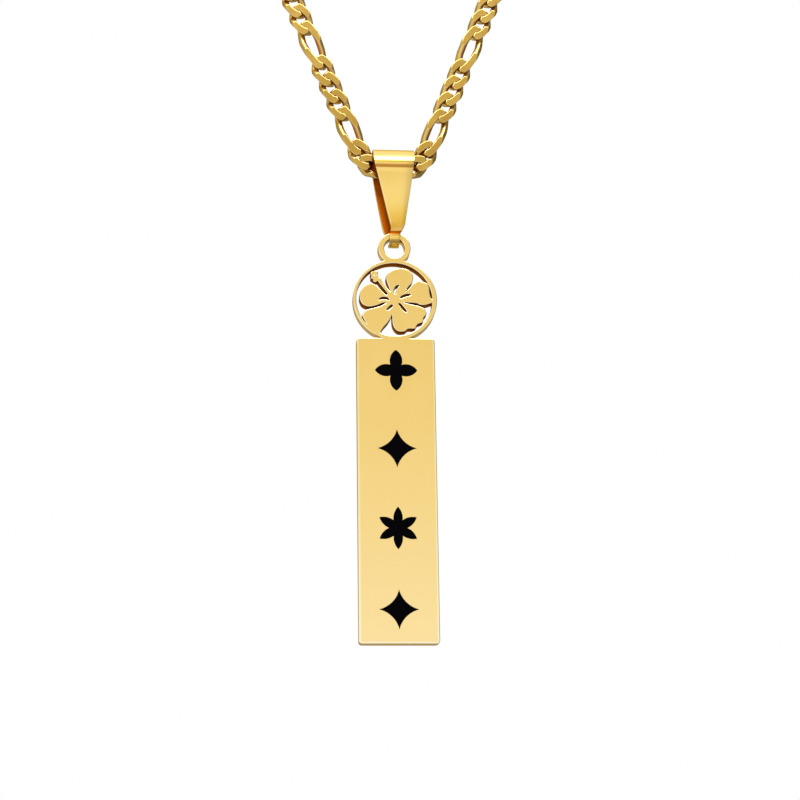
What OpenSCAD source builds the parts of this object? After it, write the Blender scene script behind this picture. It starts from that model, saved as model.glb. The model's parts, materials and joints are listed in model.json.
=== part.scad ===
// Nameplate necklace: a cut plate with a flower medallion above a bar, a folded bail and a figaro chain.
// Millimetres. +Z is up, -Y is the front, and the origin is where the clasp rests on the nape.

/* [Bar] */
// Width of the bar
bar_w = 9.6; // [8:0.1:14]
// Height of the bar
bar_h = 37.6; // [34:0.1:50]
// Thickness of the cut plate
plate_t = 1.5; // [1.2:0.1:1.8]
// Corner radius of the bar
bar_corner = 0.4; // [0.2:0.1:1]
// Width of the neck between medallion and bar
neck_w = 3.4; // [2.6:0.2:5]
// Size across each black motif
motif_w = 5.2; // [3.4:0.2:6]
// Distance from each end of the bar to the middle of the nearest motif
motif_margin = 4.1; // [3.4:0.1:4.6]
// Depth of the recess that holds a motif
recess_depth = 0.4; // [0.2:0.1:0.6]

/* [Medallion] */
// Outer radius of the round frame
medal_r = 5.2; // [4.6:0.1:6]
// Width of the round frame
rim_w = 0.5; // [0.45:0.05:0.8]
// How far the open field and its flower sit to the left of the frame's middle
field_shift = 0.1; // [0:0.05:0.15]
// Gap from the round frame to the circle that the petals are drawn in
petal_gap = 0.22; // [0.15:0.01:0.25]
// How far the medallion's frame runs down into the bar
medal_sink = 0.2; // [0.1:0.05:0.3]
// Radius of the hole in the top loop
loop_hole_r = 1.3; // [1.1:0.1:1.6]
// Width of the top loop's metal
loop_w = 0.72; // [0.6:0.02:0.9]
// Height of the top loop's hole above the round frame
loop_rise = 0.2; // [0.1:0.05:0.3]

/* [Bail] */
// Thickness of the bail's strip
strip_t = 0.4; // [0.3:0.05:0.5]
// Distance from the chain down to the middle of the bottom fold
bail_drop = 9.2; // [8:0.1:14]
// Width of the bail's roll
bail_top_w = 5.3; // [4.8:0.1:5.6]
// Width of the bail's fold
bail_end_w = 1.35; // [1:0.05:1.5]

/* [Chain] */
// Diameter of a link's wire
wire = 0.68; // [0.6:0.02:0.7]
// Width across a link
link_w = 2.75; // [2.7:0.05:3]
// Step from one short link to the next
short_pitch = 2.5; // [2.4:0.05:2.8]
// Step that a long link adds
long_pitch = 5.1; // [4:0.1:6]
// Play between two links that hook into each other
link_play = 0.25; // [0.2:0.01:0.26]
// Repeats of three short links and a long one in each strand
repeats = 17; // [15:1:21]
// Angle of each strand from the vertical
spread = 22; // [20:1:26]

/* [Worn form] */
// Depth of the level part that lies round the neck
level_depth = 70; // [60:1:75]
// Radius of the turn from the level part down to the chest
shoulder_r = 30; // [25:1:35]

/* [Clasp] */
// Diameter of the clasp's barrel
clasp_d = 3; // [2.6:0.1:4]
// Length of the clasp's barrel
clasp_len = 7; // [6:0.5:9]

/* [Hidden] */
gold = [0.93, 0.76, 0.36];
black = [0.05, 0.05, 0.06];
seat_gap = 0.03;
swing_gap = 0.05;
seam = 0.15;
cut = 1;

// The chain's links
wire_sides = 5;
ring_sides = 10;
squareness = 3;
twist = 50;
twist_power = 0.8;
link_count = 3 + 4 * repeats;
short_a = (short_pitch + wire + link_play) / 2;
long_a = (long_pitch + wire + link_play) / 2;
link_b = (link_w - wire) / 2;
mixed_pitch = (short_pitch + long_pitch) / 2;
period = 2 * mixed_pitch + 2 * short_pitch;
// Steps of the first three links, each pulled closer round the bend at the bail
bend_pull = 0.05;
bend_steps = [short_pitch, short_pitch, mixed_pitch] - bend_pull * [1, 3, 7];
bend_start = 0.4;
bend_r = 4.2;

// The clasp's eyes
eye_wire = 0.6;
eye_r = 1.05;
eye_sink = 0.25;
hook_play = 0.4;
clasp_groove = 0.15;
eye_x = clasp_len / 2 + eye_r - eye_sink;
hook_x = eye_x + eye_r;

// Places along a strand, from the middle of the bail to the nape
function is_long(i) = i % 4 == 2;
function group_step(k) = k == 0 ? 0 : mixed_pitch + (k - 1) * short_pitch;
function link_s(i) =
    i == 0 ? bend_steps[0] :
    i == 1 ? bend_steps[0] + bend_steps[1] :
    bend_steps[0] + bend_steps[1] + bend_steps[2]
        + floor((i - 2) / 4) * period + group_step((i - 2) % 4);
last_end = link_s(link_count - 1) + long_a;
half_len = last_end + hook_x - (wire + eye_wire + hook_play) / 2;

// The flat loop: a short level run in the bail, a bend, a straight run and a round back
rise = 90 - spread;
function arc_len(r, turn) = r * turn * PI / 180;
bend_end = bend_start + arc_len(bend_r, rise);
bend_x = bend_start + bend_r * sin(rise);
bend_v = bend_r * (1 - cos(rise));
apex_run = bend_x / sin(spread);
loop_r = (half_len - bend_end + apex_run) / (1 / tan(spread) + (90 + spread) * PI / 180);
straight_end = bend_end + loop_r / tan(spread) - apex_run;
centre_v = bend_v - apex_run * cos(spread) + loop_r / sin(spread);
top_v = centre_v + loop_r;

// Heading in degrees and place at a distance s along the flat loop
function heading(s) =
    s < bend_start ? 0 :
    s < bend_end ? (s - bend_start) / bend_r * 180 / PI :
    s < straight_end ? rise :
    rise + (s - straight_end) / loop_r * 180 / PI;
function flat_place(s) =
    s < bend_start ? [s, 0] :
    s < bend_end ? [bend_start + bend_r * sin(heading(s)), bend_r * (1 - cos(heading(s)))] :
    s < straight_end ? [bend_x, bend_v] + (s - bend_end) * [sin(spread), cos(spread)] :
    [loop_r * sin(heading(s)), centre_v - loop_r * cos(heading(s))];

// The flat loop laid over the shoulders: level at the back, upright in front
shoulder_len = arc_len(shoulder_r, 90);
drape_v = top_v - level_depth - shoulder_len;
function slope(v) = v > drape_v + shoulder_len ? 0 :
                    v > drape_v ? (drape_v + shoulder_len - v) / shoulder_r * 180 / PI : 90;
sag = pow(hook_x, 2) / (2 * loop_r);
back_y = clasp_d / 2 + sag;
front_y = back_y - level_depth - shoulder_r;
function worn_y(v) = slope(v) == 0 ? back_y - (top_v - v) :
                     back_y - level_depth - shoulder_r * sin(slope(v));
function worn_z(v) = slope(v) < 90 ? -shoulder_r * (1 - cos(slope(v))) : -shoulder_r - (drape_v - v);
function place(s) = let (p = flat_place(s)) [p[0], worn_y(p[1]), worn_z(p[1])];
function along(s) = let (h = heading(s), a = slope(flat_place(s)[1]))
    [cos(h), sin(h) * cos(a), sin(h) * sin(a)];
function outward(s) = let (a = slope(flat_place(s)[1])) [0, -sin(a), cos(a)];
chain_z = worn_z(0);

// The bail's axes, with its roll clear of the links that rise through it
rise_allow = 0.5;
roll_r = link_w / 2 + rise_allow;
fold_play = 0.25;
fold_r = plate_t / 2 + fold_play;
roll_z = chain_z + rise_allow;
fold_z = roll_z - bail_drop;

// The plate's places, down from the loop that hangs in the fold
loop_dip = loop_hole_r - sqrt(pow(loop_hole_r, 2) - pow(bail_end_w / 2, 2));
loop_top = fold_z - sqrt(pow(fold_r - swing_gap, 2) - pow(plate_t / 2, 2)) + loop_dip;
loop_z = loop_top - loop_hole_r;
medal_z = loop_z - loop_hole_r - loop_rise - medal_r;
bar_top = medal_z - medal_r + medal_sink;
motif_pitch = (bar_h - 2 * motif_margin) / 3;
field_r = medal_r - rim_w;
flower_r = field_r - petal_gap;

// A smooth closed curve through hand chosen points
spline_steps = 5;
function bend_at(p0, p1, p2, p3, t) =
    0.5 * (2 * p1 + (p2 - p0) * t + (2 * p0 - 5 * p1 + 4 * p2 - p3) * t * t
           + (3 * p1 - p0 - 3 * p2 + p3) * t * t * t);
function closed_curve(p) = let (n = len(p)) [
    for (i = [0 : n - 1], j = [0 : spline_steps - 1])
        bend_at(p[(i + n - 1) % n], p[i], p[(i + 1) % n], p[(i + 2) % n], j / spline_steps)];

// Petal outlines, [right, up] from the medallion's middle as shares of the flower's radius
petals = [
    [[0.02, 0.02], [-0.09, 0.2], [-0.22, 0.6], [-0.15, 0.78], [0.03, 0.88],
     [0.24, 0.91], [0.44, 0.84], [0.53, 0.68], [0.5, 0.5], [0.37, 0.33], [0.2, 0.02]],
    [[0.1, -0.05], [0.42, 0.34], [0.54, 0.48], [0.67, 0.55], [0.8, 0.52], [0.95, 0.44],
     [1.0, 0.1], [1.09, -0.05], [0.88, -0.14], [0.73, -0.15], [0.6, -0.1], [0.3, -0.08]],
    [[0.02, -0.02], [0.4, -0.12], [0.68, -0.18], [0.83, -0.26], [0.89, -0.4], [0.8, -0.52],
     [0.78, -0.64], [0.63, -0.71], [0.56, -0.83], [0.38, -0.84], [0.27, -0.92],
     [0.1, -0.92], [-0.01, -0.82], [-0.06, -0.68], [-0.07, -0.46], [-0.08, -0.2]],
    [[0.04, -0.02], [-0.04, -0.3], [-0.09, -0.5], [-0.18, -0.66], [-0.3, -0.8], [-0.44, -0.98],
     [-0.64, -0.88], [-0.88, -0.52], [-0.85, -0.4], [-0.77, -0.31], [-0.6, -0.26],
     [-0.4, -0.2], [-0.25, -0.12]],
    [[0.0, -0.08], [-0.3, -0.1], [-0.5, -0.18], [-0.72, -0.22], [-0.88, -0.15], [-0.95, -0.01],
     [-0.95, 0.14], [-0.92, 0.24], [-0.83, 0.37], [-0.7, 0.45], [-0.56, 0.44], [-0.42, 0.33],
     [-0.22, 0.12]]];
// Slot along each petal: [start right, start up, end right, end up, bow] in the same shares
slots = [[0.03, 0.16, 0.14, 0.42, 0.05], [0.17, 0.04, 0.46, 0.14, 0.03],
         [0.13, -0.11, 0.33, -0.36, 0], [-0.05, -0.16, -0.2, -0.31, 0],
         [-0.14, -0.01, -0.42, -0.01, -0.05]];
slot_w = 0.28;
// Round tips of the stamen, [right, up] in the same shares
anthers = [[-0.59, 0.74], [-0.5, 0.77], [-0.58, 0.64], [-0.49, 0.66], [-0.52, 0.55], [-0.41, 0.57]];
anther_r = 0.28;
stamen_tip = [-0.5, 0.66];
stamen_w = 0.42;

// A link as rings of points round a twisted, squared oval
function signed_pow(x, e) = sign(x) * pow(abs(x), e);
function link_point(a, t) = let (
    c = signed_pow(cos(t), 2 / squareness), h = link_b * signed_pow(sin(t), 2 / squareness),
    turn = twist * signed_pow(c, twist_power)) [a * c, h * cos(turn), h * sin(turn)];
function unit(v) = v / norm(v);
function link_ring(a, t, step) = let (
    p = link_point(a, t),
    dir = unit(link_point(a, t + step) - link_point(a, t - step)),
    raw = [0.6 * p[0], p[1], p[2]],
    side = unit(raw - (raw * dir) * dir),
    up = cross(dir, side))
    [for (k = [0 : wire_sides - 1]) let (g = 360 * k / wire_sides)
        p + wire / 2 * (cos(g) * side + sin(g) * up)];
function link_points(a) = [
    for (i = [0 : ring_sides - 1]) each link_ring(a, 360 * i / ring_sides, 360 / ring_sides)];
function ring_index(i, k) = (i % ring_sides) * wire_sides + k % wire_sides;
link_faces = [
    for (i = [0 : ring_sides - 1], k = [0 : wire_sides - 1]) each [
        [ring_index(i, k), ring_index(i + 1, k + 1), ring_index(i, k + 1)],
        [ring_index(i, k), ring_index(i + 1, k), ring_index(i + 1, k + 1)]]];

module link(s, a) {
    x = along(s);
    z = outward(s);
    y = cross(z, x);
    p = place(s);
    points = [for (q = link_points(a)) p + q[0] * x + q[1] * y + q[2] * z];
    polyhedron(points, link_faces);
}

module strand() {
    for (i = [0 : link_count - 1]) {
        link(link_s(i), is_long(i) ? long_a : short_a);
    }
}

module chain_right() color(gold) strand();

module chain_left() color(gold) mirror([1, 0, 0]) strand();

// The plain link in the bail that both strands hook into
module centre_link() color(gold)
    translate([0, front_y, chain_z]) rotate([twist - 90, 0, 0]) {
        for (side = [-1, 1]) {
            translate([side * (short_a - link_b), 0, 0]) rotate([0, 0, side * 90 - 90]) wire_bend(link_b, wire);
            translate([0, side * link_b, 0]) rotate([0, 90, 0])
                cylinder(d = wire, h = 2 * (short_a - link_b), center = true, $fn = 24);
        }
    }

// Half a ring of round wire, open towards -X
module wire_bend(r, d) {
    rotate([0, 0, -90]) rotate_extrude(angle = 180, $fn = 48) translate([r, 0]) circle(d = d, $fn = 24);
}

// Side view of a strip bent round two rolls, made solid across the bail's width
module strip_solid(grow) {
    top_r = roll_r + grow;
    low_r = fold_r + grow;
    lean = asin((roll_r - fold_r) / bail_drop);
    wide = bail_top_w + (grow > 0 ? 0 : cut);
    translate([0, 0, bail_drop]) rotate([0, 90, 0]) cylinder(r = top_r, h = wide, center = true, $fn = 96);
    rotate([0, 90, 0]) cylinder(r = low_r, h = wide, center = true, $fn = 64);
    rotate([90, 0, 90]) linear_extrude(wide, center = true)
        polygon([[top_r * cos(lean), bail_drop - top_r * sin(lean)],
                 [low_r * cos(lean), -low_r * sin(lean)],
                 [-low_r * cos(lean), -low_r * sin(lean)],
                 [-top_r * cos(lean), bail_drop - top_r * sin(lean)]]);
}

// The strip's front view, wide at the roll and narrow at the fold
module bail_taper() {
    top = bail_drop + roll_r + strip_t + cut;
    low = -fold_r - strip_t - cut;
    bend = bail_drop + 0.3 * roll_r;
    polygon([[-bail_top_w / 2, top], [bail_top_w / 2, top], [bail_top_w / 2, bend],
             [bail_end_w / 2, 0], [bail_end_w / 2, low],
             [-bail_end_w / 2, low], [-bail_end_w / 2, 0], [-bail_top_w / 2, bend]]);
}

module bail() color(gold) translate([0, front_y, fold_z]) difference() {
    intersection() {
        strip_solid(strip_t);
        rotate([90, 0, 0]) linear_extrude(4 * roll_r, center = true) bail_taper();
    }
    strip_solid(0);
    // The strip's free end stops short of the back leg
    rotate([-40, 0, 0]) translate([-bail_top_w / 2, 0, -seam / 2])
        cube([bail_top_w, 2 * fold_r, seam]);
}

module rounded_bar() {
    x = bar_w / 2 - bar_corner;
    z = bar_h - 2 * bar_corner;
    translate([-x, -bar_h]) square([2 * x, bar_h]);
    translate([-bar_w / 2, -bar_h + bar_corner]) square([bar_w, z]);
    for (side = [-1, 1], low = [0, 1]) {
        translate([side * x, -bar_corner - low * z]) circle(r = bar_corner, $fn = 32);
    }
}

// A cut piece of the sheet
module slab() linear_extrude(plate_t, center = true) children();

module flower() {
    slab() circle(r = 0.25 * flower_r, $fn = 32);
    for (outline = petals) {
        slab() polygon(flower_r * closed_curve(outline));
    }
    stamen();
}

module stamen() {
    tip = flower_r * stamen_tip;
    rotate([0, 0, atan2(tip[1], tip[0])]) translate([0, -stamen_w / 2])
        slab() square([norm(tip), stamen_w]);
    for (a = anthers) {
        translate(flower_r * a) slab() circle(r = anther_r, $fn = 20);
    }
}

// A slot that bows to one side and narrows to both ends
module slot(row) {
    start = flower_r * [row[0], row[1]];
    end = flower_r * [row[2], row[3]];
    side = unit([start[1] - end[1], end[0] - start[0]]);
    function spot(t, w) = start + t * (end - start) + (4 * t * (1 - t) * row[4] * flower_r + w) * side;
    linear_extrude(plate_t + 2 * cut, center = true) polygon(closed_curve([
        spot(0, 0), spot(0.08, slot_w * 0.4), spot(0.3, slot_w / 2), spot(0.7, slot_w / 2),
        spot(0.94, slot_w * 0.3), spot(1, 0), spot(0.94, -slot_w * 0.3), spot(0.7, -slot_w / 2),
        spot(0.3, -slot_w / 2), spot(0.08, -slot_w * 0.4)]));
}

// The round frame with its top loop
module frame() difference() {
    loop_up = loop_z - medal_z;
    union() {
        slab() circle(r = medal_r, $fn = 128);
        translate([0, loop_up]) slab() circle(r = loop_hole_r + loop_w, $fn = 64);
    }
    translate([0, loop_up, 0]) cylinder(r = loop_hole_r, h = plate_t + 2 * cut, center = true, $fn = 64);
    translate([-field_shift, 0, 0])
        cylinder(r = field_r, h = plate_t + 2 * cut, center = true, $fn = 128);
}

module pierced_flower() translate([-field_shift, 0, 0]) difference() {
    intersection() {
        flower();
        slab() circle(r = field_r + (rim_w - field_shift) / 2, $fn = 128);
    }
    for (row = slots) {
        slot(row);
    }
}

module bar() {
    neck_h = medal_z - bar_top - sqrt(pow(medal_r, 2) - pow(neck_w / 2, 2)) + rim_w / 2;
    slab() rounded_bar();
    translate([-neck_w / 2, -cut]) slab() square([neck_w, neck_h + cut]);
}

module plate() color(gold) difference() {
    translate([0, front_y, medal_z]) rotate([90, 0, 0]) {
        frame();
        pierced_flower();
        translate([0, bar_top - medal_z]) bar();
    }
    for (i = [1 : 4]) {
        motif_place(i, recess_depth + cut) motif_shape(i, 0);
    }
}

// Stands a flat shape into the bar's front, with its back at the recess's floor
module motif_place(i, depth) {
    translate([0, front_y - plate_t / 2 + recess_depth, bar_top - motif_margin - (i - 1) * motif_pitch])
        rotate([90, 0, 0]) linear_extrude(depth) children();
}

// Four plain ornaments, each drawn smaller by a gap all round
module motif_shape(i, gap) {
    if (i == 1) leaves_shape(4, 0.3, gap);
    if (i == 2) star_shape(gap);
    if (i == 3) leaves_shape(6, 0.22, gap);
    if (i == 4) star_shape(gap);
}

// A star with four hollow sides
module star_shape(gap) {
    half = motif_w / 2;
    hollow = half * 1.25;
    difference() {
        rotate([0, 0, 45]) square((half - 1.5 * gap) * sqrt(2), center = true);
        for (a = [0 : 90 : 270]) {
            rotate([0, 0, a + 45]) translate([half * 1.72, 0]) circle(r = hollow + gap, $fn = 64);
        }
    }
}

// Pointed leaves round a button, each as wide as twice a share of its reach
module leaves_shape(count, share, gap) {
    half = motif_w / 2;
    leaf = half * 0.54;
    bow = (pow(leaf, 2) + pow(share * half, 2)) / (2 * share * half);
    for (k = [0 : count - 1]) {
        rotate([0, 0, 90 + 360 * k / count]) intersection() {
            translate([half - leaf, bow - share * half]) circle(r = bow - gap, $fn = 64);
            translate([half - leaf, share * half - bow]) circle(r = bow - gap, $fn = 64);
        }
    }
    circle(r = half * 0.22 - gap, $fn = 32);
}

module motif(i) color(black) translate([0, -seat_gap, 0])
    motif_place(i, recess_depth - 2 * seat_gap) motif_shape(i, seat_gap);

// A plain barrel with an eye at each end
module clasp() color(gold) translate([0, clasp_d / 2, 0]) {
    rotate([0, 90, 0]) rotate_extrude($fn = 48) polygon([
        [0, -clasp_len / 2], [clasp_d * 0.3, -clasp_len / 2], [clasp_d / 2, -clasp_len / 2 + clasp_d * 0.2],
        [clasp_d / 2, -clasp_groove], [clasp_d / 2 - clasp_groove, 0], [clasp_d / 2, clasp_groove],
        [clasp_d / 2, clasp_len / 2 - clasp_d * 0.2], [clasp_d * 0.3, clasp_len / 2], [0, clasp_len / 2]]);
    for (side = [-1, 1]) {
        translate([side * eye_x, 0, 0]) rotate([90 - twist, 0, 0])
            rotate_extrude($fn = 48) translate([eye_r, 0]) circle(d = eye_wire, $fn = 24);
    }
}

plate();
motif(1);  // motif_1
motif(2);  // motif_2
motif(3);  // motif_3
motif(4);  // motif_4
bail();
centre_link();
chain_left();
chain_right();
clasp();
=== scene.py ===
"""Dresses the nameplate necklace: rounded plate, folded bail, ground links, black enamel and clasp."""

import json
import math

import bmesh
import bpy
import numpy as np
from mathutils import Matrix, Quaternion, Vector


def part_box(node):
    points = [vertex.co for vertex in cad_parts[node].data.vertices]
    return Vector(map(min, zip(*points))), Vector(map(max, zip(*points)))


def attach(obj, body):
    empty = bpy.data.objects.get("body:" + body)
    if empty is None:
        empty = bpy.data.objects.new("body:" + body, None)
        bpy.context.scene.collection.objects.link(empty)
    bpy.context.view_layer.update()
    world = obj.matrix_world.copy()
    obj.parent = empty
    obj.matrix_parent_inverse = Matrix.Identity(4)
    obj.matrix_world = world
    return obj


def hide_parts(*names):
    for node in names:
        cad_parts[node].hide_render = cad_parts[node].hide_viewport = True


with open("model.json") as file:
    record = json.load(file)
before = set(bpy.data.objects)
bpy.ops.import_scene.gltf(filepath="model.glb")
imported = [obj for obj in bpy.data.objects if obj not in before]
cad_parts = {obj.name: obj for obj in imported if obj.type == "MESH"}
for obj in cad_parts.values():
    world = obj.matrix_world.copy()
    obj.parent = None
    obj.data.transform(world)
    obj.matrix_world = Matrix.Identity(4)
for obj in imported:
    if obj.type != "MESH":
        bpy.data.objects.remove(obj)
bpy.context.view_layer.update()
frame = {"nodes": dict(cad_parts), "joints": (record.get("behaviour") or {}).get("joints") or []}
nodes = frame["nodes"]
joint_at = {joint["name"]: Vector(joint["pos_m"]) for joint in frame["joints"]}

# Below, a _FACE is the share of a face's normal that lies along one axis, and a _CORNER is the angle
# between two faces past which their edge is shaded sharp or beveled
MM = 0.001
SMALL = 1e-6

# Places that the frame gives
ROLL = joint_at["bail_swing"]
FOLD = joint_at["pendant_swing"]
MIDDLE_Y = ROLL.y
BAIL_LOW, BAIL_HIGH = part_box("bail")
PLATE_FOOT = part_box("plate")[0].z
CLASP_LOW, CLASP_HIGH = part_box("clasp")

# The plate: where its medallion and bar are, the rounding of its edges and the bar's rim with its painted
# highlight
MEDAL = Vector((0, MIDDLE_Y, -117.503 * MM))
MEDAL_INSIDE = 5.0 * MM
BAR_TOP = -122.503 * MM
BAR_HALF = 4.8 * MM
PLATE_EDGE = 0.09 * MM
EDGE_STEPS = 3
BAR_RIM = 0.27 * MM
RIM_HIGHLIGHT = 0.75
FLAT_FACE = 0.999
WALL_FACE = 0.3
PLATE_CORNER = math.radians(33)

# The bail's strip, seen from the side: a roll, two legs and a fold whose end is tucked under
STRIP = 0.4 * MM
ROLL_RADIUS = ROLL.y - BAIL_LOW.y - STRIP
FOLD_RADIUS = FOLD.z - BAIL_LOW.z - STRIP
LEG_LENGTH = ROLL.z - FOLD.z
FOLD_TUCK = math.radians(132)
FOLD_STEPS, FRONT_STEPS, ROLL_STEPS, BACK_STEPS = 20, 70, 48, 20
STRIP_BEVEL = 0.06 * MM
STRIP_CORNER = math.radians(60)
STRIP_FACE = 0.5
BAIL_CORNER = math.radians(40)

# The bail's width. The roll is a little narrower than the solid's, to clear the first rising links
ROLL_CLEARANCE = 0.12 * MM
BAIL_WIDE = BAIL_HIGH.x - BAIL_LOW.x - ROLL_CLEARANCE
BAIL_NARROW = 1.25 * MM
TAPER_TOP = ROLL.z + 0.3 * ROLL_RADIUS

# The front leg's dents, as the distance below the roll's axis, the depth and the half width: the crease
# under the roll, the roll's bulged front and the crease above the fold. The leg is also hollow as a whole
CREASE_AT = 0.52 * MM
FOOT_CREASE_UP = 0.1 * MM
FRONT_DENTS = [
    (CREASE_AT, 0.12 * MM, 0.36 * MM),
    (0.25 * MM, -0.12 * MM, 0.5 * MM),
    (LEG_LENGTH - FOOT_CREASE_UP, 0.1 * MM, 0.35 * MM),
]
LEG_HOLLOW = 0.32 * MM

# How far the legs lean aside, as a share of their distance from the middle, and where they bend back
FRONT_SKEW = 0.34
BACK_SKEW = 0.25
LEG_KNEE = 1.4 * MM
FOOT_SHARE = 0.1

# The painted shade in the bail's creases and above the lower one
CREASE_SHADE = 0.5
CREASE_SHADE_HALF = 0.14 * MM
FOOT_SHADE_HALF = 0.2 * MM
LEG_SHADE = 0.4
LEG_SHADE_REACH = 1.6 * MM

# The chain's links: wire of eight sides, squared oval, twist, ground flats and their broken rims
CAD_WIRE = 0.68 * MM
WIRE = 0.92 * MM
WIRE_RESOLUTION = 1
END_SWELL = 0.18
SWELL_FROM = 0.5
LINK_SIDE = 1.0 * MM
LINK_TWIST = math.radians(50)
LINK_SQUARENESS = 3
TWIST_POWER = 0.8
LINK_STEPS = 28
GROUND_AT = 0.51 * MM
GROUND_FACE = 0.9999
SLIVER = 0.012 * MM
RIM_BEVEL = 0.04 * MM
FLAT_BORDER = 0.07 * MM
LINK_CORNER = math.radians(60)
INSIDE_FACE = 0.8
INSIDE_FACING = 0.3
LINK_INSIDE_SHADE = 0.75

# The clasp. The profile's pairs are the millimetres in from the barrel's end and the share of its radius
CLASP_RADIUS = (CLASP_HIGH.y - CLASP_LOW.y) / 2
CLASP_HALF = 3.5 * MM
BARREL_PROFILE = [(0, 0), (0.04, 0.34), (0.04, 0.62), (0.18, 0.86), (0.44, 1), (2.84, 1), (2.99, 0.93),
                  (3.14, 0.93), (3.29, 1), (3.5, 1)]
BARREL_STEPS = 40
EYE_WIRE = 0.6 * MM
EYE_RADIUS = 1.05 * MM
EYE_SUNK = 0.25 * MM
EYE_SIDES, EYE_STEPS = 14, 36
CLASP_CORNER = math.radians(40)

# The finishes: patterns are in repeats a metre and relief is in metres
CLOUD_DETAIL = 3.0
GRAIN_DETAIL = 2.0
HAZE_SCALE = 260.0
INSIDE_DULL = 0.3
# The colour of the painted shade on insides, creases and cut walls
INSIDE_SHADE_GOLD = (0.42, 0.12, 0.004)
GOLD_GLINT = (0.9, 0.7, 0.35, 1)
ENAMEL_BLACKS = ((0.0004, 0.0003, 0.0006, 1), (0.0014, 0.001, 0.002, 1))
ENAMEL_PATCHES = 900.0
ENAMEL_GLOSS = 0.012
ENAMEL_RELIEF = 2e-6

# The camera, at the photograph's viewing angle
CAMERA_AZIMUTH = math.radians(-5.5)
CAMERA_ELEVATION = math.radians(-15.23)
CAMERA_ROLL = math.radians(-0.8)
CAMERA_TARGET = Vector((0.5 * MM, MIDDLE_Y, ROLL.z - 30.25 * MM))
CAMERA_DISTANCE = 0.240
CAMERA_LENS = 88.55
CAMERA_SENSOR = 36.0
CAMERA_NEAR = 0.01

# The studio that the metal sees: the sine of the elevation, then the colour there
ROOM_HEIGHTS = [
    (-1.0, (0.3, 0.28, 0.3)),
    (-0.7, (0.45, 0.42, 0.42)),
    (-0.4, (1.1, 1.05, 1.0)),
    (-0.15, (0.9, 0.88, 0.9)),
    (0.02, (1.07, 1.12, 1.45)),
    (0.14, (1.06, 1.1, 1.35)),
    (0.2, (0.98, 0.92, 0.7)),
    (0.27, (0.88, 0.75, 0.34)),
    (0.36, (0.7, 0.57, 0.28)),
    (0.5, (0.78, 0.68, 0.42)),
    (0.66, (1.0, 0.98, 0.85)),
    (0.8, (1.15, 1.2, 1.5)),
    (1.0, (1.15, 1.25, 1.9)),
]
# From left to right. The right is dark and the left brighter, so sides and gaps read against lit faces
ROOM_SIDES = [(side, (share, share, share)) for side, share in
              [(-1.0, 0.55), (-0.7, 1.2), (-0.25, 1.0), (0.3, 1.0), (0.6, 0.45), (1.0, 0.25)]]
# The room is dimmer behind the object, which gives edge-on surfaces their dark line
ROOM_BEHIND = {"From Min": 0.3, "From Max": 0.95, "To Min": 1.0, "To Max": 0.5}

# The soft panel above and in front, and the floor below
PANEL_PLACE = Vector((0.08, MIDDLE_Y - 0.58, ROLL.z + 0.69))
PANEL_AIM = Vector((0, MIDDLE_Y, ROLL.z))
PANEL_SIZE = (0.8, 0.42)
PANEL_POWER = 5.5
FLOOR_Z = -0.5
FLOOR_HALF = 30.0
FLOOR_COLOUR = (0.9, 0.89, 0.76, 1)
FLOOR_ROUGHNESS = 0.8


# Meshes


def make_piece(name, bm, body, material, node):
    """Turns a bmesh into a finished piece that rides on a body and stands for a CAD node."""
    mesh = bpy.data.meshes.new(name)
    bm.to_mesh(mesh)
    bm.free()
    mesh.materials.append(material)
    piece = bpy.data.objects.new(name, mesh)
    bpy.context.scene.collection.objects.link(piece)
    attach(piece, body)
    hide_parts(node)


def merged_copy(node):
    """A node's mesh as a bmesh with its loose triangles joined."""
    bm = bmesh.new()
    bm.from_mesh(nodes[node].data)
    bmesh.ops.remove_doubles(bm, verts=bm.verts, dist=SMALL)
    return bm


def everything(bm):
    return bm.verts[:] + bm.edges[:] + bm.faces[:]


def edges_of(bm, faces):
    """The edges of some faces, in the mesh's own order."""
    chosen = set(faces)
    return [edge for edge in bm.edges if any(face in chosen for face in edge.link_faces)]


def soften_corners(bm, edges, width, segments):
    """Bevels edges and marks the new faces for a painted highlight."""
    edge = bm.faces.layers.float.new("edge")
    beveled = bmesh.ops.bevel(bm, geom=edges, offset=width, offset_type="OFFSET", segments=segments,
                              profile=0.5, affect="EDGES", material=-1, clamp_overlap=True)
    for face in beveled["faces"]:
        face[edge] = 1.0


def split_shading(bm, limit):
    """Keeps the edges sharp that turn by more than the limit."""
    for edge in bm.edges:
        edge.smooth = edge.is_manifold and edge.calc_face_angle() < limit


def smooth_by_angle(bm, limit):
    """Smooth faces, with the edges that turn by more than the limit kept sharp."""
    for face in bm.faces:
        face.smooth = True
    split_shading(bm, limit)


# Node groups that several finishes share


def effect_group(name, inputs, outputs):
    """An empty shader node group with named sockets and the object's own coordinates."""
    group = bpy.data.node_groups.new(name, "ShaderNodeTree")
    for label, kind, value in inputs:
        socket = group.interface.new_socket(name=label, in_out="INPUT", socket_type=kind)
        socket.default_value = value
    for label, kind in outputs:
        group.interface.new_socket(name=label, in_out="OUTPUT", socket_type=kind)
    start = group.nodes.new("NodeGroupInput")
    end = group.nodes.new("NodeGroupOutput")
    place = group.nodes.new("ShaderNodeTexCoord")
    return group, start.outputs, end.inputs, place.outputs["Object"]


def feed(tree, socket, value):
    """Links a socket to another node's output, or sets it to a plain value."""
    if isinstance(value, bpy.types.NodeSocket):
        tree.links.new(value, socket)
    else:
        socket.default_value = value


def noise(tree, vector, scale, detail=CLOUD_DETAIL):
    node = tree.nodes.new("ShaderNodeTexNoise")
    feed(tree, node.inputs["Vector"], vector)
    feed(tree, node.inputs["Scale"], scale)
    feed(tree, node.inputs["Detail"], detail)
    return node.outputs["Fac"]


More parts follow.
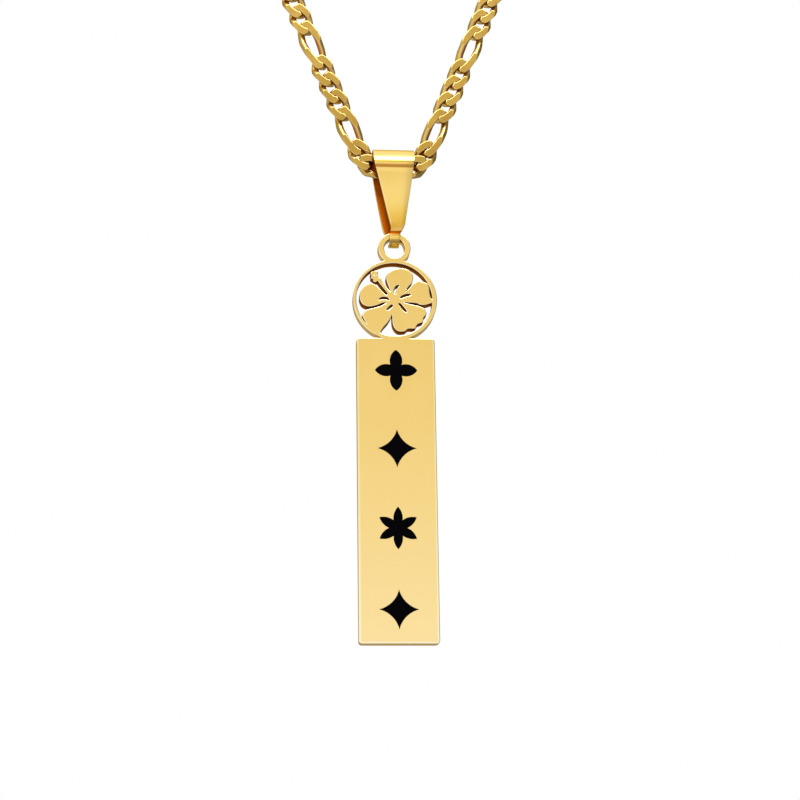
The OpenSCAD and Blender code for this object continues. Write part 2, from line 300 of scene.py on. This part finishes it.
def maths(tree, operation, a, b):
    node = tree.nodes.new("ShaderNodeMath")
    node.operation = operation
    feed(tree, node.inputs[0], a)
    feed(tree, node.inputs[1], b)
    return node.outputs[0]


def mix_colour(tree, blend, factor, a, b):
    node = tree.nodes.new("ShaderNodeMix")
    node.data_type = "RGBA"
    node.blend_type = blend
    sockets = {socket.identifier: socket for socket in node.inputs}
    feed(tree, sockets["Factor_Float"], factor)
    feed(tree, sockets["A_Color"], a)
    feed(tree, sockets["B_Color"], b)
    return next(socket for socket in node.outputs if socket.identifier == "Result_Color")


def plating_tone_group():
    """Gold plating whose tone drifts, with a painted highlight on marked edges and painted shade on
    marked insides.
    """
    group, start, end, place = effect_group(
        "plating_tone",
        [("Gold", "NodeSocketColor", (0.9, 0.66, 0.24, 1)),
         ("Deep gold", "NodeSocketColor", (0.8, 0.5, 0.14, 1)),
         ("Edge gold", "NodeSocketColor", (1.0, 0.85, 0.5, 1)),
         ("Cloud scale", "NodeSocketFloat", 120.0),
         ("Drift", "NodeSocketFloat", 0.3),
         ("Edge", "NodeSocketFloat", 0.0),
         ("Inside gold", "NodeSocketColor", (*INSIDE_SHADE_GOLD, 1)),
         ("Inside", "NodeSocketFloat", 0.0)],
        [("Color", "NodeSocketColor")])
    drift = maths(group, "MULTIPLY", noise(group, place, start["Cloud scale"]), start["Drift"])
    toned = mix_colour(group, "MIX", drift, start["Gold"], start["Deep gold"])
    # Marked edges are mixed towards a painted highlight, and marked insides and creases towards painted
    # shade
    painted_highlight = mix_colour(group, "MIX", start["Edge"], toned, start["Edge gold"])
    painted_shade = mix_colour(group, "MIX", start["Inside"], painted_highlight, start["Inside gold"])
    group.links.new(painted_shade, end["Color"])
    return group


def polish_group():
    """Roughness and height of a polished face: a broad haze and a fine drawn grain."""
    group, start, end, place = effect_group(
        "polish",
        [("Base roughness", "NodeSocketFloat", 0.15),
         ("Haze", "NodeSocketFloat", 0.08),
         ("Grain", "NodeSocketFloat", 0.05),
         ("Grain size", "NodeSocketVector", (9000.0, 9000.0, 600.0))],
        [("Roughness", "NodeSocketFloat"), ("Height", "NodeSocketFloat")])
    stretch = group.nodes.new("ShaderNodeVectorMath")
    stretch.operation = "MULTIPLY"
    feed(group, stretch.inputs[0], place)
    feed(group, stretch.inputs[1], start["Grain size"])
    grain = noise(group, stretch.outputs[0], 1.0, GRAIN_DETAIL)
    hazed = maths(group, "MULTIPLY", noise(group, place, HAZE_SCALE), start["Haze"])
    grained = maths(group, "MULTIPLY", grain, start["Grain"])
    total = maths(group, "ADD", maths(group, "ADD", hazed, grained), start["Base roughness"])
    group.links.new(total, end["Roughness"])
    group.links.new(grain, end["Height"])
    return group


PLATING_TONE = plating_tone_group()
POLISH = polish_group()


# Finishes


def new_finish(name):
    """A new material, with its node tree and its shader."""
    material = bpy.data.materials.new(name)
    material.use_nodes = True
    return material, material.node_tree, material.node_tree.nodes["Principled BSDF"]


def place_group(tree, group, values):
    """Places a shared group in a material with the finish's own values."""
    node = tree.nodes.new("ShaderNodeGroup")
    node.node_tree = group
    for label, value in values.items():
        node.inputs[label].default_value = value
    return node


def lay_relief(tree, shader, height, depth):
    """Turns a height into the fine bump of a shader."""
    bump = tree.nodes.new("ShaderNodeBump")
    bump.inputs["Strength"].default_value = 1.0
    bump.inputs["Distance"].default_value = depth
    tree.links.new(height, bump.inputs["Height"])
    tree.links.new(bump.outputs["Normal"], shader.inputs["Normal"])


def gold_finish(name, tones, clouds, polish, relief):
    """A gold-plated finish. The mesh's own attributes mark the edges that take a painted highlight and
    the insides and creases that take painted shade and more roughness.
    """
    material, tree, shader = new_finish(name)
    shader.inputs["Metallic"].default_value = 1.0
    shader.inputs["Specular Tint"].default_value = GOLD_GLINT
    opaque = {label: (*colour, 1) for label, colour in tones.items()}
    tone = place_group(tree, PLATING_TONE, opaque | clouds)
    mask = {}
    for attribute in ("edge", "inside"):
        marked = tree.nodes.new("ShaderNodeAttribute")
        marked.attribute_name = attribute
        mask[attribute] = marked.outputs["Fac"]
        tree.links.new(mask[attribute], tone.inputs[attribute.capitalize()])
    tree.links.new(tone.outputs["Color"], shader.inputs["Base Color"])
    polished = place_group(tree, POLISH, polish)
    dull = maths(tree, "MULTIPLY", mask["inside"], INSIDE_DULL)
    rough = maths(tree, "ADD", polished.outputs["Roughness"], dull)
    tree.links.new(rough, shader.inputs["Roughness"])
    lay_relief(tree, shader, polished.outputs["Height"], relief)
    return material


def black_finish():
    """Black enamel: smooth, with a faint orange-peel and dull patches."""
    material, tree, shader = new_finish("black_enamel")
    shader.inputs["Specular IOR Level"].default_value = ENAMEL_GLOSS
    place = tree.nodes.new("ShaderNodeTexCoord")
    patches = noise(tree, place.outputs["Object"], ENAMEL_PATCHES)
    black = mix_colour(tree, "MIX", patches, *ENAMEL_BLACKS)
    tree.links.new(black, shader.inputs["Base Color"])
    polished = place_group(tree, POLISH, {"Base roughness": 0.42, "Haze": 0.2, "Grain": 0.08,
                                          "Grain size": (5000.0, 5000.0, 5000.0)})
    tree.links.new(polished.outputs["Roughness"], shader.inputs["Roughness"])
    lay_relief(tree, shader, polished.outputs["Height"], ENAMEL_RELIEF)
    return material


# In each gold, Edge gold is a painted highlight and Inside gold is painted shade
PLATE_GOLD = gold_finish(
    "plate_gold",
    tones={"Gold": (0.97, 0.76, 0.34), "Deep gold": (0.9, 0.66, 0.25), "Edge gold": (1.0, 0.92, 0.6),
           "Inside gold": INSIDE_SHADE_GOLD},
    clouds={"Cloud scale": 60.0, "Drift": 0.2},
    polish={"Base roughness": 0.18, "Haze": 0.06, "Grain": 0.03, "Grain size": (9000.0, 9000.0, 700.0)},
    relief=3e-7)
BAIL_GOLD = gold_finish(
    "bail_gold",
    tones={"Gold": (0.93, 0.65, 0.16), "Deep gold": (0.8, 0.48, 0.09), "Edge gold": (1.0, 0.83, 0.42),
           "Inside gold": (0.46, 0.1, 0.001)},
    clouds={"Cloud scale": 150.0, "Drift": 0.3},
    polish={"Base roughness": 0.1, "Haze": 0.06, "Grain": 0.05, "Grain size": (14000.0, 9000.0, 250.0)},
    relief=1e-6)
CHAIN_GOLD = gold_finish(
    "chain_gold",
    tones={"Gold": (0.88, 0.65, 0.225), "Deep gold": (0.4, 0.24, 0.05), "Edge gold": (0.88, 0.68, 0.27),
           "Inside gold": INSIDE_SHADE_GOLD},
    clouds={"Cloud scale": 420.0, "Drift": 0.85},
    polish={"Base roughness": 0.12, "Haze": 0.1, "Grain": 0.03, "Grain size": (3000.0, 3000.0, 3000.0)},
    relief=5e-7)
BLACK_ENAMEL = black_finish()


# The plate


def round_side(bm, faces, towards):
    """Rounds the outer edge of one broad side of the plate. towards is -1 for front and 1 for back."""
    edge = bm.faces.layers.float["edge"]
    rings = []
    inset_before = 0.0
    for step in range(1, EDGE_STEPS + 1):
        inset = PLATE_EDGE * (1 - math.cos(math.pi / 2 * step / EDGE_STEPS))
        rings.append(bmesh.ops.inset_region(bm, faces=faces, thickness=inset - inset_before,
                                            use_boundary=True, use_even_offset=False)["faces"])
        inset_before = inset
    inside = set(faces)
    for step, ring in reversed(list(enumerate(rings))):
        outer = {v for f in ring for v in f.verts if not any(g in inside for g in v.link_faces)}
        depth = PLATE_EDGE * (1 - math.sin(math.pi / 2 * step / EDGE_STEPS))
        bmesh.ops.translate(bm, verts=list(outer), vec=(0, -towards * depth, 0))
        inside.update(ring)
        # The rounded edge takes a painted highlight
        for face in ring:
            face[edge] = 1.0
    # The flat inside is laid again from its own outline, so that no sliver is left folded over
    reach = max(v.co.y * towards for f in faces for v in f.verts)
    flat = {f for f in faces if all(v.co.y * towards > reach - SMALL for v in f.verts)}
    outline = [e for e in edges_of(bm, flat) if any(f not in flat for f in e.link_faces)]
    bmesh.ops.delete(bm, geom=list(flat), context="FACES")
    laid = bmesh.ops.triangle_fill(bm, use_beauty=True, edges=outline, normal=(0, towards, 0))["geom"]
    turned = [f for f in laid if isinstance(f, bmesh.types.BMFace) and f.normal.y * towards < 0]
    bmesh.ops.reverse_faces(bm, faces=turned)


def highlight_bar_rim(bm):
    """Marks a narrow strip along the bar's edges, front and back, for a painted highlight."""
    edge = bm.faces.layers.float["edge"]
    side = BAR_HALF - BAR_RIM
    foot = PLATE_FOOT + BAR_RIM
    for place, across in (((0, 0, BAR_TOP), (0, 0, 1)), ((0, 0, foot), (0, 0, 1)),
                          ((side, 0, 0), (1, 0, 0)), ((-side, 0, 0), (1, 0, 0))):
        bmesh.ops.bisect_plane(bm, geom=everything(bm), dist=SMALL, plane_co=place, plane_no=across)
    for face in bm.faces:
        face.normal_update()
        middle = face.calc_center_median()
        on_rim = middle.z < BAR_TOP and (abs(middle.x) > side or middle.z < foot)
        if on_rim and abs(face.normal.y) > FLAT_FACE:
            # The rim strip takes a painted highlight
            face[edge] = RIM_HIGHLIGHT


def build_plate():
    """The plate with rounded edges, a painted highlight on them and on the bar's rim, and painted shade
    on the flower's cut walls.
    """
    bm = merged_copy("plate")
    bm.faces.layers.float.new("edge")
    for towards in (-1, 1):
        broad = [f for f in bm.faces if all((v.co.y - MIDDLE_Y) * towards > SMALL for v in f.verts)]
        round_side(bm, broad, towards)
    highlight_bar_rim(bm)
    inside = bm.faces.layers.float.new("inside")
    for face in bm.faces:
        face.smooth = abs(face.normal.y) < FLAT_FACE
        # The flower's cut walls inside the medallion take painted shade
        in_medal = (face.calc_center_median() - MEDAL).length < MEDAL_INSIDE
        if in_medal and abs(face.normal.y) < WALL_FACE:
            face[inside] = 1.0
    split_shading(bm, PLATE_CORNER)
    make_piece("cut_plate", bm, "pendant", PLATE_GOLD, "plate")


build_plate()


# The bail


def on_circle(centre, radius, angle):
    """A place on a circle seen from the side. Angle 0 is the front and a quarter turn is the top."""
    return centre + radius * Vector((0, -math.cos(angle), math.sin(angle)))


def walk_arc(bm, vert, centre, angle, steps):
    """Draws an arc of edges on from a vertex and gives the last vertex."""
    swept = bmesh.ops.spin(bm, geom=[vert], cent=centre, axis=(1, 0, 0), angle=angle, steps=steps)
    return swept["geom_last"][0]


def walk_line(bm, vert, goal, steps):
    """Draws a line of edges on from a vertex and gives the last vertex."""
    start = vert.co.copy()
    for step in range(1, steps + 1):
        vert = bmesh.ops.extrude_vert_indiv(bm, verts=[vert])["verts"][0]
        vert.co = start.lerp(goal, step / steps)
    return vert


def draw_bail_side(bm):
    """The strip's line seen from the side: tucked end, fold, front leg, roll and back leg."""
    lean = math.asin((ROLL_RADIUS - FOLD_RADIUS) / LEG_LENGTH)
    vert = bm.verts.new(on_circle(FOLD, FOLD_RADIUS, -FOLD_TUCK))
    vert = walk_arc(bm, vert, FOLD, lean - FOLD_TUCK, FOLD_STEPS)
    vert = walk_line(bm, vert, on_circle(ROLL, ROLL_RADIUS, -lean), FRONT_STEPS)
    vert = walk_arc(bm, vert, ROLL, -(math.pi + 2 * lean), ROLL_STEPS)
    walk_line(bm, vert, on_circle(FOLD, FOLD_RADIUS, math.pi + lean), BACK_STEPS)


def pressed_in(below):
    """How far the front leg is pressed in, at a distance below the roll's axis."""
    dents = sum(depth * math.exp(-((below - at) / half) ** 2) for at, depth, half in FRONT_DENTS)
    way = min(max(below / LEG_LENGTH, 0), 1)
    return dents + LEG_HOLLOW * 4 * way * (1 - way)


def widen_bail(bm):
    """Gives the line its width, full at the roll and narrow at the fold."""
    bmesh.ops.translate(bm, verts=bm.verts, vec=(-BAIL_NARROW / 2, 0, 0))
    rails = bmesh.ops.extrude_edge_only(bm, edges=bm.edges)["geom"]
    other_side = [v for v in rails if isinstance(v, bmesh.types.BMVert)]
    bmesh.ops.translate(bm, verts=other_side, vec=(BAIL_NARROW, 0, 0))
    for vert in bm.verts:
        share = min(max((vert.co.z - FOLD.z) / (TAPER_TOP - FOLD.z), 0), 1)
        width = BAIL_NARROW + share * (BAIL_WIDE - BAIL_NARROW)
        vert.co.x = math.copysign(width / 2, vert.co.x)


def thicken_bail(bm):
    """Gives the strip its thickness on the inner side."""
    bmesh.ops.recalc_face_normals(bm, faces=bm.faces)
    top = max(bm.faces, key=lambda f: f.calc_center_median().z)
    if top.normal.z < 0:
        bmesh.ops.reverse_faces(bm, faces=bm.faces)
    bmesh.ops.solidify(bm, geom=bm.faces, thickness=-STRIP)
    bmesh.ops.recalc_face_normals(bm, faces=bm.faces)


def shade_bail(bm):
    """Marks painted shade on the inner faces, the creases and the front leg above the lower crease."""
    inside = bm.faces.layers.float.new("inside")
    for face in bm.faces:
        place = face.calc_center_median()
        core = Vector((place.x, MIDDLE_Y, min(max(place.z, FOLD.z), ROLL.z)))
        above_foot = place.z - FOLD.z - FOOT_CREASE_UP
        # Inner faces, the lower crease, the leg above it and the crease under the roll take painted shade
        if face.normal.dot(place - core) < 0 and abs(face.normal.x) < STRIP_FACE:
            face[inside] = 1.0
        elif place.y >= MIDDLE_Y:
            continue
        elif abs(above_foot) < FOOT_SHADE_HALF:
            face[inside] = 1.0
        elif 0 < above_foot < LEG_SHADE_REACH:
            face[inside] = LEG_SHADE * (1 - above_foot / LEG_SHADE_REACH)
        elif abs(ROLL.z - place.z - CREASE_AT) < CREASE_SHADE_HALF:
            face[inside] = CREASE_SHADE


def lean_legs(bm):
    """Leans the front leg right and the back leg left, as on a strip pressed shut by hand."""
    knee = FOLD.z + LEG_KNEE
    for vert in bm.verts:
        if vert.co.z > knee:
            lean = max(ROLL.z - vert.co.z, 0) / (ROLL.z - knee)
        else:
            short = 1 - max(vert.co.z - FOLD.z, 0) / LEG_KNEE
            lean = FOOT_SHARE + (1 - FOOT_SHARE) * (1 - short * short)
        skew = FRONT_SKEW if vert.co.y < MIDDLE_Y else BACK_SKEW
        vert.co.x += skew * lean * (MIDDLE_Y - vert.co.y)


def build_bail():
    """One strip bent round the roll and the fold, tapered and creased, with a painted highlight on its
    edges and painted shade in its creases and inner faces.
    """
    bm = bmesh.new()
    draw_bail_side(bm)
    for vert in bm.verts:
        if vert.co.y < MIDDLE_Y:
            vert.co.y += pressed_in(ROLL.z - vert.co.z)
    widen_bail(bm)
    thicken_bail(bm)
    rims = [e for e in bm.edges if e.is_manifold and e.calc_face_angle() > STRIP_CORNER]
    soften_corners(bm, rims, STRIP_BEVEL, 2)
    shade_bail(bm)
    lean_legs(bm)
    smooth_by_angle(bm, BAIL_CORNER)
    make_piece("folded_bail", bm, "bail", BAIL_GOLD, "bail")


build_bail()


# The chain


def signed_power(value, power):
    return math.copysign(abs(value) ** power, value)


def link_path(half_length, hand):
    """Points along the middle of a link's wire: a squared oval, twisted about its long axis."""
    points = []
    for step in range(LINK_STEPS):
        angle = 2 * math.pi * (step + 0.5) / LINK_STEPS
        reach = signed_power(math.cos(angle), 2 / LINK_SQUARENESS)
        side = LINK_SIDE * signed_power(math.sin(angle), 2 / LINK_SQUARENESS)
        turn = hand * LINK_TWIST * signed_power(reach, TWIST_POWER)
        points.append((half_length * reach, side * math.cos(turn), side * math.sin(turn)))
    return points


def bent_wire(half_length, hand):
    """A link's wire as a bmesh, swelling towards the link's ends."""
    curve = bpy.data.curves.new("link_wire", "CURVE")
    curve.dimensions = "3D"
    curve.bevel_depth = WIRE / 2
    curve.bevel_resolution = WIRE_RESOLUTION
    spline = curve.splines.new("POLY")
    points = link_path(half_length, hand)
    spline.points.add(len(points) - 1)
    for point, place in zip(spline.points, points):
        point.co = (*place, 1)
        along = abs(place[0]) / half_length
        point.radius = 1 + END_SWELL * max(along - SWELL_FROM, 0) / (1 - SWELL_FROM)
    spline.use_cyclic_u = True
    holder = bpy.data.objects.new("link_wire", curve)
    bm = bmesh.new()
    bm.from_mesh(bpy.data.meshes.new_from_object(holder))
    bpy.data.objects.remove(holder)
    bmesh.ops.recalc_face_normals(bm, faces=bm.faces)
    return bm


def ground_flats(bm):
    return [face for face in bm.faces if abs(face.normal.z) > GROUND_FACE]


def ground_link(half_length, hand):
    """One link of round wire, its two broad sides ground flat and the new rims broken."""
    bm = bent_wire(half_length, hand)
    for side in (1, -1):
        cut = bmesh.ops.bisect_plane(bm, geom=everything(bm), dist=SMALL, clear_outer=True,
                                     plane_co=(0, 0, side * GROUND_AT), plane_no=(0, 0, side))
        rim = [e for e in cut["geom_cut"] if isinstance(e, bmesh.types.BMEdge)]
        bmesh.ops.holes_fill(bm, edges=rim, sides=0)
    bmesh.ops.remove_doubles(bm, verts=bm.verts, dist=SLIVER)
    soften_corners(bm, edges_of(bm, ground_flats(bm)), RIM_BEVEL, 1)
    # A narrow border lets each flat's shading roll off towards its rim, as a polishing wheel does
    bmesh.ops.inset_individual(bm, faces=ground_flats(bm), thickness=FLAT_BORDER, depth=0,
                               use_even_offset=False)
    # The side of the wire that faces the link's own opening takes painted shade
    inside = bm.faces.layers.float.new("inside")
    for face in bm.faces:
        place = face.calc_center_median()
        outward = face.normal.x * place.x + face.normal.y * place.y
        if abs(face.normal.z) < INSIDE_FACE and outward < -INSIDE_FACING * place.length:
            face[inside] = LINK_INSIDE_SHADE
    smooth_by_angle(bm, LINK_CORNER)
    link = bpy.data.meshes.new("ground_link")
    bm.to_mesh(link)
    bm.free()
    return link


def islands(bm):
    """The vertices of each loose solid of a mesh."""
    seen = set()
    for first in bm.verts:
        if first in seen:
            continue
        seen.add(first)
        island = [first]
        for vert in island:
            for edge in vert.link_edges:
                other = edge.other_vert(vert)
                if other not in seen:
                    seen.add(other)
                    island.append(other)
        yield island


def link_places(node):
    """Each link of a strand, as half its length and the placement that lays a link there."""
    bm = merged_copy(node)
    places = []
    for island in islands(bm):
        points = np.array([vert.co for vert in island])
        middle = points.mean(axis=0)
        _, axes = np.linalg.eigh(np.cov((points - middle).T))
        along, across = axes[:, 2], axes[:, 1]
        half_length = np.abs((points - middle) @ along).max() - CAD_WIRE / 2
        turn = Matrix(np.column_stack((along, across, np.cross(along, across))).tolist()).to_4x4()
        places.append((round(float(half_length), 5), Matrix.Translation(middle.tolist()) @ turn))
    bm.free()
    return places


def build_strand(name, node, hand):
    """A strand of ground links, one laid in the place of each of the node's links."""
    links = {}
    bm = bmesh.new()
    for layer in ("edge", "inside"):
        bm.faces.layers.float.new(layer)
    for half_length, placement in link_places(node):
        if half_length not in links:
            links[half_length] = ground_link(half_length, hand)
        count = len(bm.verts)
        bm.from_mesh(links[half_length])
        bm.verts.ensure_lookup_table()
        bmesh.ops.transform(bm, matrix=placement, verts=bm.verts[count:])
    make_piece(name, bm, "chain", CHAIN_GOLD, node)


build_strand("links_left", "chain_left", -1)
build_strand("links_right", "chain_right", 1)


# The clasp


def turn_barrel(bm):
    """One half of the barrel turned from its profile, then mirrored."""
    previous = None
    for inward, share in BARREL_PROFILE:
        vert = bm.verts.new((inward * MM - CLASP_HALF, share * CLASP_RADIUS, 0))
        if previous:
            bm.edges.new((previous, vert))
        previous = vert
    bmesh.ops.spin(bm, geom=bm.verts[:] + bm.edges[:], cent=(0, 0, 0), axis=(1, 0, 0),
                   angle=2 * math.pi, steps=BARREL_STEPS, use_merge=True)
    bmesh.ops.mirror(bm, geom=everything(bm), axis="X", merge_dist=SMALL)
    bmesh.ops.remove_doubles(bm, verts=bm.verts, dist=SMALL)


def bend_eye(bm, end):
    """A ring of wire let into one end of the barrel, tilted to take the strand's last link."""
    tilt = Matrix.Rotation(math.pi / 2 - LINK_TWIST, 4, "X")
    centre = Vector((end * (CLASP_HALF + EYE_RADIUS - EYE_SUNK), 0, 0))
    wire = bmesh.ops.create_circle(bm, segments=EYE_SIDES, radius=EYE_WIRE / 2, cap_ends=False)
    section = wire["verts"]
    upright = Matrix.Rotation(math.pi / 2, 4, "X")
    place = Matrix.Translation(centre + Vector((EYE_RADIUS, 0, 0))) @ tilt @ upright
    bmesh.ops.transform(bm, verts=section, matrix=place)
    edges = list(dict.fromkeys(edge for vert in section for edge in vert.link_edges))
    bmesh.ops.spin(bm, geom=section + edges, cent=centre, axis=tilt @ Vector((0, 0, 1)),
                   angle=2 * math.pi, steps=EYE_STEPS, use_merge=True)


def build_clasp():
    """A turned barrel with two fine grooves round its middle and an eye at each end."""
    bm = bmesh.new()
    turn_barrel(bm)
    for end in (-1, 1):
        bend_eye(bm, end)
    bmesh.ops.translate(bm, verts=bm.verts, vec=(0, CLASP_RADIUS, 0))
    bmesh.ops.recalc_face_normals(bm, faces=bm.faces)
    smooth_by_angle(bm, CLASP_CORNER)
    make_piece("barrel_clasp", bm, "chain", BAIL_GOLD, "clasp")


build_clasp()


# Nodes that keep their CAD shape


def refinish(node, material):
    for used in nodes[node].material_slots:
        used.material = material


for number in range(1, 5):
    refinish(f"motif_{number}", BLACK_ENAMEL)
refinish("centre_link", CHAIN_GOLD)


# Camera, light and floor


def place_camera():
    """Stands the camera below the pendant, a little to its left, looking up."""
    flat = math.cos(CAMERA_ELEVATION)
    back = Vector((math.sin(CAMERA_AZIMUTH) * flat, -math.cos(CAMERA_AZIMUTH) * flat,
                   math.sin(CAMERA_ELEVATION)))
    lens = bpy.data.cameras.new("camera")
    lens.lens = CAMERA_LENS
    lens.sensor_width = CAMERA_SENSOR
    lens.clip_start = CAMERA_NEAR
    camera = bpy.data.objects.new("camera", lens)
    bpy.context.scene.collection.objects.link(camera)
    camera.rotation_mode = "QUATERNION"
    camera.location = CAMERA_TARGET + back * CAMERA_DISTANCE
    camera.rotation_quaternion = (-back).to_track_quat("-Z", "Y") @ Quaternion((0, 0, 1), CAMERA_ROLL)
    bpy.context.scene.camera = camera


def map_range(tree, value, limits):
    """Maps a value between the limits that are given, or else to the span from 0 to 1."""
    span = tree.nodes.new("ShaderNodeMapRange")
    for label, limit in limits.items():
        span.inputs[label].default_value = limit
    tree.links.new(value, span.inputs["Value"])
    return span.outputs[0]


def room_ramp(tree, value, stops):
    """The room's colours along one of its directions, from -1 to 1."""
    ramp = tree.nodes.new("ShaderNodeValToRGB")
    tree.links.new(map_range(tree, value, {"From Min": -1}), ramp.inputs[0])
    while len(ramp.color_ramp.elements) < len(stops):
        ramp.color_ramp.elements.new(0.5)
    for element, (place, colour) in zip(ramp.color_ramp.elements, stops):
        element.position = (place + 1) / 2
        element.color = (*colour, 1)
    return ramp.outputs["Color"]


def build_world():
    """A white studio: the camera sees plain white, and the metal sees soft panels and dark corners."""
    world = bpy.data.worlds.new("studio")
    bpy.context.scene.world = world
    world.use_nodes = True
    tree = world.node_tree
    surface = tree.nodes["Background"]
    place = tree.nodes.new("ShaderNodeTexCoord")
    split = tree.nodes.new("ShaderNodeSeparateXYZ")
    tree.links.new(place.outputs["Generated"], split.inputs[0])
    heights = room_ramp(tree, split.outputs["Z"], ROOM_HEIGHTS)
    sides = room_ramp(tree, split.outputs["X"], ROOM_SIDES)
    behind = map_range(tree, split.outputs["Y"], ROOM_BEHIND)
    lit = mix_colour(tree, "MULTIPLY", 1.0, mix_colour(tree, "MULTIPLY", 1.0, heights, sides), behind)
    seen = tree.nodes.new("ShaderNodeLightPath")
    shown = mix_colour(tree, "MIX", seen.outputs["Is Camera Ray"], lit, (1, 1, 1, 1))
    tree.links.new(shown, surface.inputs["Color"])
    surface.inputs["Strength"].default_value = 1.0


def hang_panel():
    """A soft rectangular panel of light above and in front of the bail."""
    light = bpy.data.lights.new("key_panel", "AREA")
    light.shape = "RECTANGLE"
    light.size, light.size_y = PANEL_SIZE
    light.energy = PANEL_POWER
    lamp = bpy.data.objects.new("key_panel", light)
    bpy.context.scene.collection.objects.link(lamp)
    lamp.location = PANEL_PLACE
    lamp.rotation_mode = "QUATERNION"
    lamp.rotation_quaternion = (PANEL_AIM - PANEL_PLACE).to_track_quat("-Z", "Y")
    lamp.visible_camera = False


def build_floor():
    """A plain pale floor, which the metal doesn't mirror."""
    bm = bmesh.new()
    bmesh.ops.create_grid(bm, x_segments=1, y_segments=1, size=FLOOR_HALF)
    bmesh.ops.translate(bm, verts=bm.verts, vec=(0, 0, FLOOR_Z))
    mesh = bpy.data.meshes.new("floor")
    bm.to_mesh(mesh)
    bm.free()
    material, _, shader = new_finish("floor_pale")
    shader.inputs["Base Color"].default_value = FLOOR_COLOUR
    shader.inputs["Roughness"].default_value = FLOOR_ROUGHNESS
    mesh.materials.append(material)
    floor = bpy.data.objects.new("floor", mesh)
    bpy.context.scene.collection.objects.link(floor)
    floor.visible_glossy = False


place_camera()
build_world()
hang_panel()
build_floor()
bpy.context.scene.view_settings.view_transform = "Standard"
